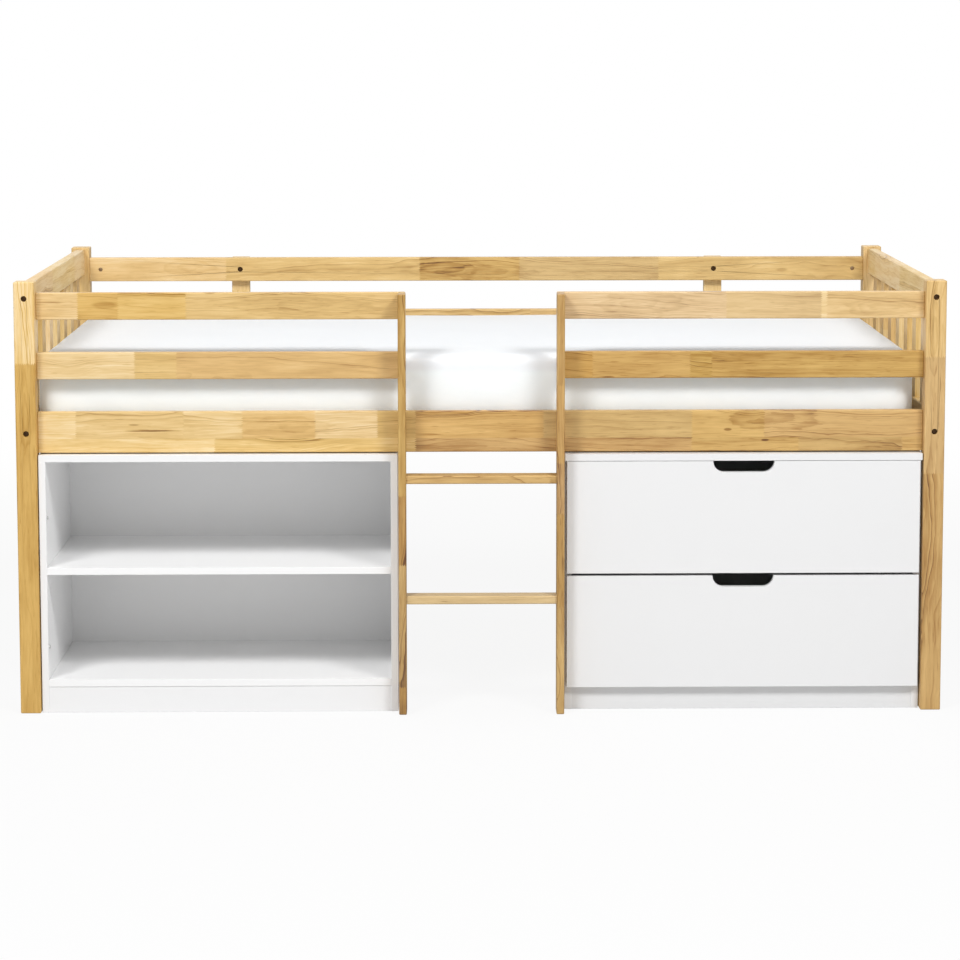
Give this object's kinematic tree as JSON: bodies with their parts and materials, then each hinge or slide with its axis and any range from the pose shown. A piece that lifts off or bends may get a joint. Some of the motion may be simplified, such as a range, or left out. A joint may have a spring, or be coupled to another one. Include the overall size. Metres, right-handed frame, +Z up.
{
  "type": "mid-height children's bed with storage",
  "caption": "Mid-height wooden children's bed with slatted ends, guard rails, fixed ladder and mattress over an open bookcase and a chest of drawers on roller runners.",
  "frame": {"origin": "on the floor under the middle of the bounding box", "axes": "+X to the right as seen from the ladder side, -Y towards the ladder side, +Z up"},
  "size_m": [1.98, 1.023, 0.93],
  "materials": {
    "pine": "clear-finished finger-jointed pine",
    "white_board": "white satin-faced particle board",
    "thin_board": "white-faced thin fibre board",
    "sheet": "white cotton sheet over a foam mattress",
    "zinc_steel": "zinc-plated fasteners",
    "runner_steel": "white powder-coated sheet steel",
    "nylon": "white nylon rollers"
  },
  "bodies": {
    "bed": {"front_left_post": "pine", "front_right_post": "pine", "back_left_post": "pine", "back_right_post": "pine", "front_side_rail": "pine", "back_side_rail": "pine", "back_middle_guard": "pine", "back_upper_guard": "pine", "front_left_middle_guard": "pine", "front_left_upper_guard": "pine", "front_right_middle_guard": "pine", "front_right_upper_guard": "pine", "left_end_top_rail": "pine", "right_end_top_rail": "pine", "left_end_bottom_rail": "pine", "right_end_bottom_rail": "pine", "left_end_slats": "pine", "right_end_slats": "pine", "back_left_upright": "pine", "back_right_upright": "pine", "slat_ledgers": "pine", "deck_slats": "pine", "ladder_left_stile": "pine", "ladder_right_stile": "pine", "ladder_lower_rung": "pine", "ladder_upper_rung": "pine", "mattress": "sheet", "bookcase_left_side": "white_board", "bookcase_right_side": "white_board", "bookcase_top": "white_board", "bookcase_middle_shelf": "white_board", "bookcase_bottom_shelf": "white_board", "bookcase_plinth": "white_board", "bookcase_back": "thin_board", "chest_left_side": "white_board", "chest_right_side": "white_board", "chest_top": "white_board", "chest_plinth": "white_board", "chest_back": "thin_board", "unit_runners": "runner_steel", "end_panel_bolts": "zinc_steel", "rail_bolts": "zinc_steel", "barrel_nuts": "zinc_steel", "upright_bolts": "zinc_steel", "ladder_screws": "zinc_steel", "unit_screws": "zinc_steel"},
    "lower_drawer": {"lower_drawer_front": "white_board", "lower_drawer_sides": "white_board", "lower_drawer_back": "white_board", "lower_drawer_bottom": "thin_board", "lower_drawer_runners": "runner_steel"},
    "upper_drawer": {"upper_drawer_front": "white_board", "upper_drawer_sides": "white_board", "upper_drawer_back": "white_board", "upper_drawer_bottom": "thin_board", "upper_drawer_runners": "runner_steel"},
    "lower_fixed_roller_pair": {"lower_fixed_rollers": "nylon"},
    "lower_riding_roller_pair": {"lower_riding_rollers": "nylon"},
    "upper_fixed_roller_pair": {"upper_fixed_rollers": "nylon"},
    "upper_riding_roller_pair": {"upper_riding_rollers": "nylon"}
  },
  "joints": [
    {"name": "lower_drawer_slide", "type": "slide", "parent": "bed", "child": "lower_drawer", "axis": [0, -1, 0], "range_m": [0, 0.26]},
    {"name": "lower_fixed_roller_spin", "type": "hinge", "parent": "bed", "child": "lower_fixed_roller_pair", "pos_m": [0.56175, -0.451, 0.0968], "axis": [1, 0, 0], "continuous": true},
    {"name": "lower_riding_roller_spin", "type": "hinge", "parent": "lower_drawer", "child": "lower_riding_roller_pair", "pos_m": [0.56175, -0.1265, 0.0923], "axis": [1, 0, 0], "continuous": true},
    {"name": "upper_drawer_slide", "type": "slide", "parent": "bed", "child": "upper_drawer", "axis": [0, -1, 0], "range_m": [0, 0.26]},
    {"name": "upper_fixed_roller_spin", "type": "hinge", "parent": "bed", "child": "upper_fixed_roller_pair", "pos_m": [0.56175, -0.451, 0.3453], "axis": [1, 0, 0], "continuous": true},
    {"name": "upper_riding_roller_spin", "type": "hinge", "parent": "upper_drawer", "child": "upper_riding_roller_pair", "pos_m": [0.56175, -0.1265, 0.3408], "axis": [1, 0, 0], "continuous": true}
  ],
  "couplings": [
    {"joint": "lower_fixed_roller_spin", "follows": "lower_drawer_slide", "rad_per_m": 125},
    {"joint": "lower_riding_roller_spin", "follows": "lower_drawer_slide", "rad_per_m": 125},
    {"joint": "upper_fixed_roller_spin", "follows": "upper_drawer_slide", "rad_per_m": 125},
    {"joint": "upper_riding_roller_spin", "follows": "upper_drawer_slide", "rad_per_m": 125}
  ]
}
